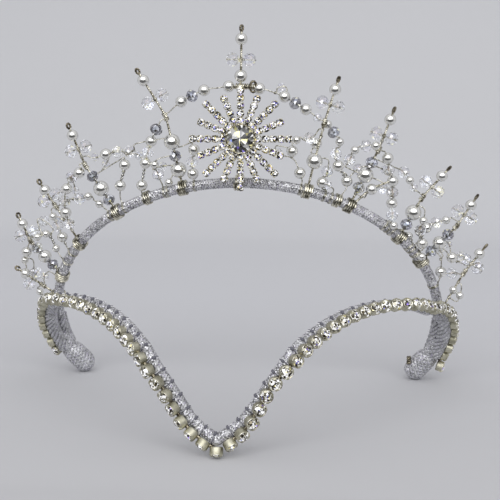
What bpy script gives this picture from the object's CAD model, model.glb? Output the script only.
# %% [markdown]
# # A ballet headpiece
#
# The real thing is made at a bench from wire, beads and thread. Two bands of stiff wire are wrapped in a
# glittering silver-grey braid and bound together at their ends. Eleven beaded spikes stand on the rear
# band, fine beaded strands run between them, a starburst brooch sits in the middle, and a chain of
# rhinestones in metal cups is stitched along the front band, which dips to a point on the forehead.
#
# The solids of the headpiece are already made, and this script dresses them. Each step first says what
# the piece is, how it could be made, and why this way was chosen.

# %% Load the frame
import math

import bmesh
import bpy
import numpy as np
from mathutils import Matrix, Vector


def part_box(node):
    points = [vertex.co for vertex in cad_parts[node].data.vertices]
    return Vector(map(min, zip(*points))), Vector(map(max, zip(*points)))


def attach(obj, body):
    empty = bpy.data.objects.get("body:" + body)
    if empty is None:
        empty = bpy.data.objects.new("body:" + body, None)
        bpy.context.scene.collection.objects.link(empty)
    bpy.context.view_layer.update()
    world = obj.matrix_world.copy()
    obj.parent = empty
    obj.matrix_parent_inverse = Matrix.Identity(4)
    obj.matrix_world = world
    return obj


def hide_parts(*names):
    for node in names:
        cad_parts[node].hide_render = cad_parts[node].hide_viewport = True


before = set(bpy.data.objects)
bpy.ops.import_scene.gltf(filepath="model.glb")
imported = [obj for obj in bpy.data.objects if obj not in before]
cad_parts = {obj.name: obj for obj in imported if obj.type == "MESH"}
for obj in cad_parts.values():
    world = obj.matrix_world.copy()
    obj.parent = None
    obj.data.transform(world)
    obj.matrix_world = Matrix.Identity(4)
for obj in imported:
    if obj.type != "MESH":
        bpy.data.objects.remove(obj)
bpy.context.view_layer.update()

# %% [markdown]
# ## The camera
#
# The photograph looks slightly down on the headpiece from the front. A camera's turn is a matrix whose
# columns are its right, its up and its backward direction, so they are worked out from the direction that
# it looks in and the small tilt that the picture has. Colours are kept as they are lit, with no film
# curve, so that the pale greys stay as they are set.

# %% The camera
MM = 0.001
CAMERA_PLACE = Vector((32.9, -330.1, 93.9))
CAMERA_LOOK = Vector((-0.085, 0.990, -0.113)).normalized()
CAMERA_TILT = math.radians(-0.21)


def linked(name, data):
    """A new object in the scene."""
    item = bpy.data.objects.new(name, data)
    bpy.context.scene.collection.objects.link(item)
    return item


def add_camera():
    right = CAMERA_LOOK.cross((0, 0, 1)).normalized()
    up = right.cross(CAMERA_LOOK)
    tilted_right = math.cos(CAMERA_TILT) * right - math.sin(CAMERA_TILT) * up
    tilted_up = math.sin(CAMERA_TILT) * right + math.cos(CAMERA_TILT) * up
    data = bpy.data.cameras.new("camera")
    data.lens = 70
    data.sensor_width = 36
    data.clip_start = 0.01
    data.clip_end = 20
    camera = linked("camera", data)
    turn = Matrix((tilted_right, tilted_up, -CAMERA_LOOK)).transposed().to_4x4()
    camera.matrix_world = Matrix.Translation(CAMERA_PLACE * MM) @ turn
    bpy.context.scene.camera = camera


add_camera()
bpy.context.scene.view_settings.view_transform = "Standard"

# %% [markdown]
# ## Writing nodes as sums
#
# Materials and Geometry Nodes are both graphs of nodes. Linking them one by one is long and hard to read,
# so a small class stands for a socket, and + - * / on it add the Math nodes. One method makes every other
# node from its kind, its settings and what goes into its sockets.

# %% Nodes and values


class Value:
    """What a socket gives. Arithmetic on it adds Math nodes."""

    def __init__(self, nodes, socket):
        self.nodes = nodes
        self.socket = socket

    def maths(self, operation, *others):
        return self.nodes.maths(operation, self, *others)

    def __add__(self, other):
        return self.maths("ADD", other)

    def __sub__(self, other):
        return self.maths("SUBTRACT", other)

    def __mul__(self, other):
        return self.maths("MULTIPLY", other)

    def __truediv__(self, other):
        return self.maths("DIVIDE", other)

    def over(self, limit):
        return self.maths("GREATER_THAN", limit)

    def output(self, name):
        return Value(self.nodes, self.socket.node.outputs[name])


class Nodes:
    """A tree that nodes are added to."""

    def __init__(self, tree):
        self.tree = tree

    def add(self, kind, settings=None, inputs=None, output=0):
        node = self.tree.nodes.new(kind)
        for name, setting in (settings or {}).items():
            if name == "stops":
                self.set_ramp(node.color_ramp, setting)
            else:
                setattr(node, name, setting)
        for name, value in (inputs or {}).items():
            if isinstance(value, Value):
                self.tree.links.new(value.socket, node.inputs[name])
            else:
                node.inputs[name].default_value = value
        return Value(self, node.outputs[output])

    def set_ramp(self, ramp, stops):
        while len(ramp.elements) < len(stops):
            ramp.elements.new(0.5)
        for element, (place, colour) in zip(ramp.elements, stops):
            element.position = place
            element.color = rgba(colour)

    def maths(self, operation, *values):
        return self.add("ShaderNodeMath", {"operation": operation}, dict(enumerate(values)))

    def vector(self, operation, *values):
        return self.add("ShaderNodeVectorMath", {"operation": operation}, dict(enumerate(values)))

    def scaled(self, vector, amount):
        return self.add("ShaderNodeVectorMath", {"operation": "SCALE"}, {0: vector, "Scale": amount})

    def mix(self, share, first, second):
        """A colour between two colours."""
        return self.add("ShaderNodeMix", {"data_type": "RGBA"},
                        {0: share, 6: rgba(first), 7: rgba(second)}, output=2)

    def ramp(self, value, *stops):
        return self.add("ShaderNodeValToRGB", {"stops": stops}, {"Fac": value})


def rgba(colour):
    """A colour or a grey as four numbers. A socket's value passes through."""
    if isinstance(colour, Value) or isinstance(colour, tuple) and len(colour) == 4:
        return colour
    return (*colour, 1.0) if isinstance(colour, tuple) else (colour, colour, colour, 1.0)


# %% [markdown]
# ## One way to make a finish
#
# Every finish here is a Principled shader whose colour, roughness and small relief come from patterns.
# What changes over the surface is linked, and what is the same all over is set on the shader's own socket.
# Patterns are placed by the object's own coordinates counted in millimetres, or by values that the mesh
# carries.

# %% Finishes


class Finish(Nodes):
    """A material, and the patterns that several of them share."""

    def __init__(self, name):
        self.material = bpy.data.materials.new(name)
        self.material.use_nodes = True
        super().__init__(self.material.node_tree)
        self.tree.nodes.clear()

    def place(self, scale=1.0):
        """Object coordinates in millimetres, times a scale."""
        here = self.add("ShaderNodeTexCoord", output="Object")
        return self.scaled(here, scale / MM)

    def carried(self, name, output="Fac"):
        return self.add("ShaderNodeAttribute", {"attribute_name": name}, output=output)

    def cloud(self, vector, scale=1.0, detail=2.0):
        return self.add("ShaderNodeTexNoise", {}, {"Vector": vector, "Scale": scale, "Detail": detail})

    def parts(self, colour):
        """The red, green and blue of a colour, as three numbers."""
        split = self.add("ShaderNodeSeparateColor", inputs={"Color": colour})
        return [split.output(name) for name in ("Red", "Green", "Blue")]

    def chance(self, *names):
        """A random direction and three random numbers for each facet, from the numbers it carries."""
        key = self.add("ShaderNodeCombineXYZ", inputs={
            axis: self.carried(name).maths("ROUND") for axis, name in zip("XYZ", names)})
        way = self.add("ShaderNodeTexWhiteNoise", {"noise_dimensions": "3D"}, {"Vector": key}, "Color")
        return way, *self.parts(way)

    def bump(self, height, depth):
        """A normal that follows a small relief, whose depth is in millimetres."""
        return self.add("ShaderNodeBump", inputs={"Height": height, "Distance": depth * MM})

    def tilted(self, direction, amount):
        """The surface's normal, pushed towards a random direction: the glitter of loose foil."""
        normal = self.add("ShaderNodeNewGeometry", output="Normal")
        push = self.scaled(self.vector("SUBTRACT", direction, (0.5, 0.5, 0.5)), amount)
        return self.vector("NORMALIZE", self.vector("ADD", normal, push))

    def shade(self, **sockets):
        """Finishes with a Principled shader. An underscore in a socket's name stands for a space."""
        shader = self.add("ShaderNodeBsdfPrincipled", inputs={
            name.replace("_", " "): rgba(value) if "Color" in name else value
            for name, value in sockets.items()})
        end = self.tree.nodes.new("ShaderNodeOutputMaterial")
        self.tree.links.new(shader.socket, end.inputs["Surface"])
        return self.material


# %% [markdown]
# ## The silver-grey braid
#
# The bands are wrapped in a metallic braid. Its threads cross on the diagonal, and foil threads among them
# catch the light as single white or lilac glints, with dark grey between them. The mesh carries two
# values: "weave", the place along and around the band as if it were straight, and "ridge", the height of
# the woven relief. Cells of one thread's width each get a random brightness and a random lean, so that
# they glint by turns, and the valleys of the relief are darker. At the bands' ends the braid is duller.

# %% Finish: braid


def braid_finish(name, woven, spread, lean):
    """The braid, placed by its weave or by millimetres, with a spread of tones and a lean of its threads."""
    f = Finish(name)
    weave = f.carried("weave", output="Vector") if woven else f.place()
    cell = f.add("ShaderNodeTexVoronoi", inputs={"Vector": weave, "Scale": 2.6}, output="Color")
    bright, hue, wear = f.parts(cell)
    valley = f.carried("ridge") * 0.5 + 0.5
    light = (bright - 0.5) * spread + valley * 0.3 + f.cloud(weave, 0.3) * 0.4 + 0.1
    silver = f.ramp(light, (0.0, (0.07, 0.07, 0.075)), (0.3, (0.27, 0.27, 0.28)),
                    (0.55, (0.52, 0.525, 0.54)), (0.8, (0.85, 0.85, 0.88)), (1.0, (1, 1, 1)))
    colour = f.mix(hue.over(0.85) * 0.3, silver, (0.72, 0.64, 0.92))
    return f.shade(Base_Color=colour, Metallic=0.5, Roughness=wear * 0.25 + 0.25,
                   Normal=f.tilted(cell, lean))


BRAID = braid_finish("silver_grey_braid", True, 0.7, 0.8)
BOUND_BRAID = braid_finish("silver_grey_bound_braid", True, 0.45, 0.45)
BRAID_CORD = braid_finish("silver_grey_braid_cord", False, 0.3, 0.3)

# %% [markdown]
# ## Metals
#
# The stems and the finer strands are silver-plated wire with a warm cast. The loops at the tips, the stub
# beside one end and the chain's links have tarnished. The coils round the rear band have worn to an old
# gold, the cups of the chain are pale olive gold with polished rims, and the brooch is bright plating.
# Plating is never even: a soft cloud varies the colour and the roughness a little, and a finer one gives
# the small dents that break up reflections.

# %% Finish: metals


def metal(name, bright, dull, roughness, grain):
    """Plating between two tones, with its least roughness and the fineness of its wear."""
    f = Finish(name)
    wear = f.cloud(f.place(grain), 0.6, 3.0)
    dents = f.cloud(f.place(grain), 2.5, 1.0)
    return f.shade(Base_Color=f.mix((wear - 0.42) * 5, bright, dull), Metallic=1.0,
                   Roughness=wear * 0.2 + roughness, Normal=f.bump(dents, 0.03))


STEM_WIRE = metal("warm_silver_wire", (0.93, 0.9, 0.78), (0.22, 0.2, 0.14), 0.06, 1.3)
FINE_WIRE = metal("fine_silver_wire", (0.92, 0.9, 0.82), (0.22, 0.21, 0.15), 0.08, 1.6)
LOOP_WIRE = metal("tarnished_wire", (0.38, 0.34, 0.25), (0.06, 0.05, 0.035), 0.15, 1.2)
COIL_WIRE = metal("old_gold_wire", (0.86, 0.83, 0.7), (0.14, 0.13, 0.095), 0.06, 0.9)
CUP_METAL = metal("pale_olive_gold", (0.62, 0.6, 0.48), (0.4, 0.385, 0.29), 0.38, 0.5)
RIM_METAL = metal("polished_rim", (1.0, 0.98, 0.88), (0.45, 0.42, 0.32), 0.1, 1.2)
BROOCH_METAL = metal("bright_plating", (0.75, 0.71, 0.56), (0.12, 0.1, 0.06), 0.08, 1.2)

# %% [markdown]
# ## Foiled stones
#
# A foiled rhinestone shows its own pattern of bright and black facets, because light crosses it and comes
# back off the foil behind. Tracing that takes many bounces for a stone a dozen pixels wide. Instead each
# facet carries a number, and each stone another, and a random value of both picks what the facet returns:
# white, grey, near black, or now and then a violet, blue or yellow flash.

# %% Finish: foiled stones


def foiled(name, flash, warm, *tones):
    f = Finish(name)
    way, light, hue, luck = f.chance("facet", "stone")
    tone = f.ramp(light, *tones)
    spark = f.ramp(hue, (0.0, (0.3, 0.12, 0.8)), (0.35, (0.2, 0.3, 0.85)), (0.5, warm),
                   (0.9, (1.0, 0.9, 0.4)))
    colour = f.mix(luck.over(1 - flash) * 0.8, tone, spark)
    return f.shade(Base_Color=colour, Metallic=0.45, Roughness=light * 0.1 + 0.03, Coat_Weight=0.6,
                   Coat_Roughness=0.02, Normal=f.tilted(way, 0.5), Emission_Strength=0.4,
                   Emission_Color=f.mix(light.over(0.65), (0.0, 0.0, 0.0), colour))


CHAIN_STONE = foiled("foiled_chain_stone", 0.06, (0.85, 0.75, 0.35), (0.3, (0.03, 0.024, 0.015)),
                     (0.42, (0.22, 0.19, 0.12)), (0.52, (0.62, 0.6, 0.5)), (0.7, 1.0))
RAY_STONE = foiled("foiled_ray_stone", 0.16, (0.95, 0.75, 0.3), (0.42, 0.01), (0.48, 0.15), (0.54, 0.75),
                   (0.62, 1.0))
CENTRE_STONE = foiled("foiled_centre_stone", 0.12, (0.9, 0.88, 0.45), (0.1, 0.03), (0.3, 0.15),
                      (0.55, 0.32), (0.85, 0.5), (0.93, 1.0))

# %% [markdown]
# ## Glass beads and pearls
#
# The clear beads are cut glass, so they are real glass here: the backdrop shows through them, and their
# facets bend it into grey lines, with a thin film for faint lilac and blue. One facet in ten returns a
# bright flash. The smoke beads are the same glass with a grey, partly silvered body, and the seed beads
# have a silver lining. The pearls are imitation ones: a white body under a soft mirror of lustre, which is
# why they show a bright spot at the top with a darker band under it.

# %% Finish: glass and pearl


def cut_glass(name, dark, body, tint, silver, film):
    f = Finish(name)
    way, light, hue, luck = f.chance("facet", "stone")
    colour = f.mix(luck.over(0.8) * 0.5, f.mix(light, dark, body), f.mix(hue, tint, (0.7, 0.8, 1.0)))
    flash = f.mix(hue.over(0.8), (0.85, 0.9, 1.0), (1.0, 0.95, 0.45))
    return f.shade(Base_Color=colour, Metallic=light.over(0.8) * 0.4 + silver,
                   Roughness=light * 0.04 + 0.01, Transmission_Weight=1.0, IOR=1.5,
                   Thin_Film_Thickness=film, Thin_Film_IOR=1.6, Emission_Strength=0.35,
                   Emission_Color=f.mix(light.over(0.9), (0.0, 0.0, 0.0), flash))


def pearl_finish():
    f = Finish("pearl")
    cloud = f.cloud(f.place(), 0.8)
    colour = f.ramp(cloud, (0.3, (0.84, 0.83, 0.78)), (0.7, (0.9, 0.9, 0.88)))
    return f.shade(Base_Color=colour, Metallic=0.9, Roughness=cloud * 0.05 + 0.09, Coat_Weight=1.0,
                   Coat_Roughness=0.06, Normal=f.bump(cloud, 0.01))


CLEAR_GLASS = cut_glass("clear_cut_glass", (0.93, 0.93, 0.95), (1.0, 1.0, 0.99), (0.88, 0.8, 1.0),
                        0.0, 150.0)
SMOKE_GLASS = cut_glass("smoke_cut_glass", (0.15, 0.15, 0.16), (0.8, 0.8, 0.83), (0.6, 0.56, 0.7),
                        0.2, 200.0)
SEED_GLASS = cut_glass("silver_lined_seed_glass", (0.1, 0.1, 0.08), (0.95, 0.95, 0.88), (0.7, 0.66, 0.8),
                       0.5, 150.0)
PEARL = pearl_finish()

# %% [markdown]
# ## Thread
#
# The cup chain is stitched down with a dark grey thread whose knots sit on the braid's upper edge,
# and a white thread crosses the braid between the cups. A thread is matt, with a fine ply.

# %% Finish: thread


def thread(name, colour, shadow):
    f = Finish(name)
    ply = f.cloud(f.place(6.0))
    return f.shade(Base_Color=f.mix(ply, colour, shadow), Roughness=0.75, Normal=f.bump(ply, 0.03))


DARK_THREAD = thread("dark_thread", (0.06, 0.06, 0.075), (0.2, 0.2, 0.24))
WHITE_THREAD = thread("white_thread", (0.9, 0.9, 0.9), (0.55, 0.55, 0.58))


# %% [markdown]
# ## The lines that everything follows
#
# Each piece lies on one of a few curves: the rear arch, the front band, the spikes that stand on the arch
# and the strands between them. The rules are short, so they are written out here, in millimetres, with the
# same origin as the solids. The arch is half an ellipse with legs that curve inwards below it, in a plane
# that leans forward. The spikes are a table of angles round the arch, tilts and heights.

# %% The arch and the spikes
MIDDLE = np.array((0.7, 53.6, 0.0))
ARCH_HALF_W, ARCH_RISE, ARCH_WAIST, LEG_R = 74, 60, 25, 53
ARCH_LEAN = math.radians(27.5)
ARCH_R = 1.8
LEG_STOP = 106
END_BACK, END_UP = 108, 3.15
SPIKE_LEAN = math.radians(13)
PEARL_DROP = 4.5
SIDES = ((-1, "left"), (1, "right"))
NONE = 0

# Name, degrees round the arch, tilt and distance of the tip, then heights of the low smoke bead, the large
# pearl, the high smoke bead, the wrapped joint and the pair of clear beads, the tilt below the joint, the
# large pearl's size as a share, and the height of a second one.
SPIKES = [
    ("left_5", -82, -54, 20, NONE, NONE, NONE, 7.5, 12, -54, 1, NONE),
    ("left_4", -72, -32, 29, 5.3, 9.7, 14.1, 17.6, 20.8, -40, 0.88, NONE),
    ("left_3", -56, -30, 28, NONE, NONE, NONE, 16.5, 20.1, -30, 1, NONE),
    ("left_2", -38, -26, 36.5, 5.4, 10.4, 15.8, 20.5, 27, -31.5, 1, NONE),
    ("left_1", -16, -19, 45, 12, 17.2, NONE, 26.5, 33.5, -11, 1, 6.8),
    ("centre", 0, 2, 55, NONE, 38, NONE, 34, 43.5, 2, 0.76, NONE),
    ("right_1", 19, 15, 42, NONE, 11.3, NONE, 25.5, 32, 13.5, 1, NONE),
    ("right_2", 32, 23, 38.5, 7.5, 12.6, 17.6, 23, 28, 25.5, 1, NONE),
    ("right_3", 51, 33, 31.5, 5.4, 10.5, NONE, 17, 22, 27, 1, NONE),
    ("right_4", 63, 37, 32, 5.3, 9.7, 14.1, 18.3, 23.5, 42, 0.88, NONE),
    ("right_5", 88, 30, 33.4, NONE, 11.8, NONE, 20, 24.2, 26.5, 0.55, NONE),
]

# How far the strands' beads are tilted sideways, by degrees round the arch
SPRAY_AT = (-82, -72, -56, -38, -16, 0, 19, 32, 51, 63, 81)
SPRAY_TILT = (-54, -32, -30, -26, -19, 2, 15, 22, 33, 37, 39)


def unit(v):
    return v / np.linalg.norm(v)


def arch_point(angle):
    a = math.radians(abs(angle))
    if abs(angle) <= 90:
        across, along = ARCH_HALF_W * math.sin(a), ARCH_WAIST + ARCH_RISE * math.cos(a)
    else:
        across = ARCH_HALF_W - LEG_R * (1 - math.sin(a))
        along = ARCH_WAIST + LEG_R * math.cos(a)
    return np.array((math.copysign(across, angle), END_BACK - along * math.sin(ARCH_LEAN),
                     END_UP + along * math.cos(ARCH_LEAN))) - MIDDLE


def arch_along(angle):
    return unit(arch_point(angle + 0.5) - arch_point(angle - 0.5))


# The way that the spikes' plane faces, and its upward direction
SPIKES_FACE = np.array((0, -math.cos(SPIKE_LEAN), -math.sin(SPIKE_LEAN)))
SPIKES_UP = np.array((0, -math.sin(SPIKE_LEAN), math.cos(SPIKE_LEAN)))


def stand_up(tilt):
    t = math.radians(tilt)
    return np.array((math.sin(t), 0, 0)) + math.cos(t) * SPIKES_UP


class Spike:
    """A stem that bends at its wrapped joint, and the heights of what is threaded on it."""

    def __init__(self, name, angle, tilt, tip, low, large, high, joint, pair, low_tilt, share, second):
        self.name, self.angle, self.joint, self.pair, self.share = name, angle, joint, pair, share
        self.smoke = [height for height in (low, high) if height != NONE]
        self.large = [height for height in (large, second) if height != NONE]
        self.foot = arch_point(angle)
        self.low_way = stand_up(low_tilt)
        self.bend = self.foot + joint * self.low_way
        high_part = self.foot + tip * stand_up(tilt) - self.bend
        self.high_way = unit(high_part)
        self.length = joint + np.linalg.norm(high_part)

    def way(self, height):
        return self.high_way if height > self.joint else self.low_way

    def aside(self, height):
        return np.cross(self.way(height), SPIKES_FACE)

    def at(self, height, aside=0.0, forward=0.0):
        start, first = (self.bend, self.joint) if height > self.joint else (self.foot, 0)
        return (start + (height - first) * self.way(height) + aside * self.aside(height)
                + forward * SPIKES_FACE)


spikes = [Spike(*row) for row in SPIKES]


def spray_point(angle, height, back=0.0):
    """A point of the spray of spikes and strands, by degrees round the arch, height and set-back."""
    tilt = np.interp(angle, SPRAY_AT, SPRAY_TILT)
    return arch_point(angle) + height * stand_up(tilt) + (0, back, 0)


for spike in spikes:
    lowest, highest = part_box("tip_pearl_" + spike.name)
    gap = Vector(spike.at(spike.length - PEARL_DROP)) - (lowest + highest) / 2 / MM
    print("tip pearl of", spike.name, "is off its solid by", round(gap.length, 3), "mm")

# %% [markdown]
# The front band runs through points that were chosen by eye, joined by a smooth curve. The chain runs
# along its outer side, and rolls towards its underside at the dip and at the ends.

# %% The front band and the chain's line
FRONT_POINTS = [
    (0, 2, 5.2), (7, 4, 10), (12, 5.5, 16.5), (18.5, 6, 26), (23.5, 10.5, 32), (34, 22.5, 38),
    (46.5, 34.5, 40.5), (59, 45, 39.5), (66, 59, 35.5), (69, 75, 33.5), (74.5, 86.5, 29.5),
    (76.5, 93.5, 21.5), (75, 98.3, 14.5), (73.3, 99.9, 10.5), (72, 101.2, 6),
]
FRONT_TUCK = 4
SWELL_AT, SWELL_TO = (0, 100, 130, 175), (1.7, 1.7, 1.955, 1.955)
ROLL_AT = (0, 5, 12, 30, 60, 90, 115, 145, 155, 165, 180)
ROLL = {-1: (70, 52, 42, 34, 20, -6, -15, 0, 30, 60, 70), 1: (70, 46, 18, 8, 0, -12, -15, 0, 30, 60, 70)}
CUP_PITCH, CUP_DEPTH, CUP_GAP = 4.6, 2.6, 0.25


def smooth(points, steps=4):
    p = [np.array(q, float) for q in points]
    last = len(p) - 1
    line = []
    for i in range(last):
        p0, p1, p2, p3 = p[max(i - 1, 0)], p[i], p[i + 1], p[min(i + 2, last)]
        for t in np.arange(steps) / steps:
            line.append(0.5 * (2 * p1 + (p2 - p0) * t + (2 * p0 - 5 * p1 + 4 * p2 - p3) * t * t
                               + (3 * p1 - p0 - 3 * p2 + p3) * t ** 3))
    return np.array(line + [p[last]])


def tangents(line):
    n = len(line) - 1
    return np.array([unit(line[min(i + 1, n)] - line[max(i - 1, 0)]) for i in range(n + 1)])


def lengths_along(line):
    return np.concatenate(((0,), np.cumsum(np.linalg.norm(np.diff(line, axis=0), axis=1))))


def outward(t):
    return unit(np.array((t[1], -t[0], 0)))


def placed(points, side):
    """Points of the right-hand half, on either side of the model's own origin."""
    return points * np.array((side, 1, 1)) - MIDDLE


FRONT_HALF = smooth(FRONT_POINTS)
FRONT_LINE = np.concatenate((FRONT_HALF[:0:-1] * (-1, 1, 1), FRONT_HALF))
FRONT_DIP = len(FRONT_HALF) - 1
HALF_LENGTHS = lengths_along(FRONT_HALF)
FRONT_R = np.interp(HALF_LENGTHS, SWELL_AT, SWELL_TO)


# %% [markdown]
# ## Meshes from a rule
#
# A few helpers turn numbers into meshes: one from points and faces, one for lines that a curve will
# follow, and one for a section turned on an axis, such as a cup or a pearl. A turned shape has its normals
# worked out again, since a section can run either way. Cut stones number their facets.

# %% Mesh helpers


def carry(mesh, name, values, kind="FLOAT", domain="POINT"):
    """Stores a number or a vector for each point or face."""
    data = mesh.attributes.new(name, kind, domain).data
    data.foreach_set("vector" if kind == "FLOAT_VECTOR" else "value", np.array(values, np.float32).ravel())


def mesh_of(name, points, faces=(), edges=(), cut=False):
    mesh = bpy.data.meshes.new(name)
    mesh.from_pydata([tuple(np.array(p, float) * MM) for p in points], edges, faces)
    if len(faces):
        work = bmesh.new()
        work.from_mesh(mesh)
        bmesh.ops.recalc_face_normals(work, faces=work.faces)
        work.to_mesh(mesh)
        work.free()
    if cut:
        carry(mesh, "facet", np.arange(len(faces)) + 1, domain="FACE")
    return mesh


def ring(radius, z, count, half=0.0):
    """Points round the Z axis, turned on by a share of one step."""
    angles = [math.tau * (k + half) / count for k in range(count)]
    return [(radius * math.cos(a), radius * math.sin(a), z) for a in angles]


def between(low, high):
    """Faces between two rings of points, given by their numbers. A ring at a pole has one number only."""
    fours = zip(low, [*low[1:], low[0]], [*high[1:], high[0]], high)
    return [list(dict.fromkeys(four)) for four in fours]


def turned(name, section, sides):
    """A section of (radius, height) points turned about Z. A radius of 0 closes it at a point."""
    points, rings = [], []
    for r, z in section:
        rings.append([len(points) + (k if r else 0) for k in range(sides)])
        points += ring(r, z, sides if r else 1)
    faces = [face for low, high in zip(rings, rings[1:]) for face in between(low, high)]
    mesh = mesh_of(name, points, faces)
    mesh.shade_smooth()
    return mesh


def line_mesh(name, lines, thick=None):
    """Lines of points for a tree to follow, with their thickness where it changes."""
    points, edges = [], []
    for line in lines:
        edges += [(len(points) + k, len(points) + k + 1) for k in range(len(line) - 1)]
        points += list(line)
    mesh = mesh_of(name, points, edges=edges)
    if thick is not None:
        carry(mesh, "thick", np.concatenate(thick).astype(np.float32) * MM)
    return mesh


def piece_of(name, mesh, slot, *nodes):
    """Puts a finished mesh on the only body, for the solids that it stands for."""
    mesh.name = name
    piece = linked(name, mesh)
    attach(piece, "root")
    if nodes:
        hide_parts(*nodes)
    print(name, sum(len(p.vertices) - 2 for p in mesh.polygons), "triangles")


def joined(*meshes):
    """Several finished meshes as one, each with its own material."""
    objects = [linked("part", mesh) for mesh in meshes]
    with bpy.context.temp_override(active_object=objects[0], selected_editable_objects=objects):
        bpy.ops.object.join()
    mesh = objects[0].data
    bpy.data.objects.remove(objects[0])
    return mesh


# %% [markdown]
# ## Geometry Nodes trees
#
# What repeats or follows a path is grown by a tree: wires wound round a path, braid over a band, and
# beads, cups, stones and knots set at points. A tree is built once with named inputs and used often. Its
# inputs are set by their identifiers before the object is first evaluated, and the result is read back as
# a plain mesh.

# %% Trees with named inputs


class Tree(Nodes):
    """A Geometry Nodes tree: named inputs, then nodes, then one result with a material."""

    def __init__(self, name, **inputs):
        super().__init__(bpy.data.node_groups.new(name, "GeometryNodeTree"))
        face = self.tree.interface
        kinds = {"Geometry": "Geometry", **inputs, "Material": "Material"}
        for label, kind in kinds.items():
            face.new_socket(label, in_out="INPUT", socket_type="NodeSocket" + kind)
        face.new_socket("Geometry", in_out="OUTPUT", socket_type="NodeSocketGeometry")
        self.start = self.tree.nodes.new("NodeGroupInput")
        self.sockets = {s.name: s.identifier for s in face.items_tree if s.in_out == "INPUT"}

    def given(self, name):
        return Value(self, self.start.outputs[name])

    def grow(self, kind, output=0, settings=None, **inputs):
        """Adds a geometry node. An underscore in an input's name stands for a space."""
        spaced = {name.replace("_", " "): value for name, value in inputs.items()}
        return self.add("GeometryNode" + kind, settings, spaced, output)

    def named(self, name, kind="FLOAT"):
        return self.grow("InputNamedAttribute", settings={"data_type": kind}, Name=name)

    def keep(self, geometry, name, value, kind="FLOAT"):
        return self.grow("StoreNamedAttribute", settings={"data_type": kind, "domain": "POINT"},
                         Geometry=geometry, Name=name, Value=value)

    def path(self):
        """The source's lines as curves, cut into equal steps."""
        curve = self.grow("MeshToCurve", Mesh=self.given("Geometry"))
        return self.grow("ResampleCurve", settings={"mode": "LENGTH"}, Curve=curve,
                         Length=self.given("Step"))

    def swept(self, line, section, **more):
        return self.grow("CurveToMesh", Curve=line, Profile_Curve=section, Fill_Caps=True, **more)

    def finish(self, geometry):
        whole = self.grow("RealizeInstances", Geometry=geometry)
        painted = self.grow("SetMaterial", Geometry=whole, Material=self.given("Material"))
        end = self.tree.nodes.new("NodeGroupOutput")
        self.tree.links.new(painted.socket, end.inputs[0])
        return self


def grown(source, tree, material, **inputs):
    """Runs a tree on a mesh and returns the result as a plain mesh."""
    holder = linked("source", source)
    modifier = holder.modifiers.new("grow", "NODES")
    modifier.node_group = tree.tree
    for label, value in {**inputs, "Material": material}.items():
        modifier[tree.sockets[label]] = value
    mesh = bpy.data.meshes.new_from_object(holder.evaluated_get(bpy.context.evaluated_depsgraph_get()))
    holder.modifiers.remove(modifier)
    bpy.data.objects.remove(holder)
    return mesh


# %% [markdown]
# ### Winding a wire round a path
#
# Twisted stems, wrapped joints, the coils round the arch and the strands' wires are all the same thing: a
# wire that circles a path at some reach and moves on by its pitch with each turn. The tree cuts the path
# into short steps, moves each point out from it, turned by its distance along the path, and sweeps a round
# section along the result. Two strands or more make a twist, and a reach of 0 makes a plain wire.

# %% Tree: wound wire


def winding_tree():
    t = Tree("wound_wire", Reach="Float", Wire="Float", Pitch="Float", Step="Float", Strands="Int",
             Sides="Int")
    copies = t.grow("DuplicateElements", settings={"domain": "SPLINE"}, Geometry=t.path(),
                    Amount=t.given("Strands"))
    share = copies.output("Duplicate Index") / t.given("Strands")
    turn = (t.grow("SplineParameter", "Length") / t.given("Pitch") + share) * math.tau
    normal = t.grow("InputNormal")
    across = t.vector("CROSS_PRODUCT", t.grow("InputTangent"), normal)
    out = t.scaled(normal, turn.maths("COSINE") * t.given("Reach"))
    aside = t.scaled(across, turn.maths("SINE") * t.given("Reach"))
    wound_path = t.grow("SetPosition", Geometry=copies, Offset=t.vector("ADD", out, aside))
    section = t.grow("CurvePrimitiveCircle", Resolution=t.given("Sides"), Radius=t.given("Wire"))
    return t.finish(t.grow("SetShadeSmooth", Geometry=t.swept(wound_path, section)))


WINDING = winding_tree()


def wound(lines, material, reach, wire, pitch, strands=1, sides=6, step=0.35):
    """Wires wound round lines: the wires' reach from the line, radius, pitch and step in millimetres."""
    return grown(line_mesh("path", lines), WINDING, material, Reach=reach * MM, Wire=wire * MM,
                 Pitch=pitch * MM, Step=step * MM, Strands=strands, Sides=sides)


# %% [markdown]
# ### Braid over a band
#
# The braid is a sleeve with two sets of diagonal ridges that cross. The tree sweeps a many-sided ring
# along the band, keeps the distance along and around as it goes, and moves the surface out by the higher
# of the two sets, as one thread passes over the other. What it keeps also places the braid's finish.

# %% Tree: braided sleeve


def sleeve_tree():
    t = Tree("braided_sleeve", Step="Float", Sides="Int", Ridge="Float", Depth="Float", Turns="Float")
    line = t.keep(t.path(), "along", t.grow("SplineParameter", "Length"))
    circle = t.grow("CurvePrimitiveCircle", Resolution=t.given("Sides"), Radius=1.0)
    section = t.keep(circle, "around", t.grow("SplineParameter"))
    swept = t.swept(line, section, Scale=t.named("thick"))
    along = t.named("along") / t.given("Ridge")
    around = t.named("around") * t.given("Turns")
    first = ((along + around) * math.tau).maths("SINE")
    second = ((along - around) * math.tau).maths("SINE")
    ridge = first.maths("MAXIMUM", second)
    raised = t.grow("SetPosition", Geometry=swept,
                    Offset=t.scaled(t.grow("InputNormal"), ridge * t.given("Depth")))
    angle = t.named("around") * math.tau
    radius = t.named("thick") / MM
    place = t.add("ShaderNodeCombineXYZ", inputs={
        "X": angle.maths("COSINE") * radius, "Y": angle.maths("SINE") * radius,
        "Z": t.named("along") / MM})
    woven = t.keep(t.keep(raised, "ridge", ridge), "weave", place, "FLOAT_VECTOR")
    return t.finish(t.grow("SetShadeSmooth", Geometry=woven))


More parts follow.
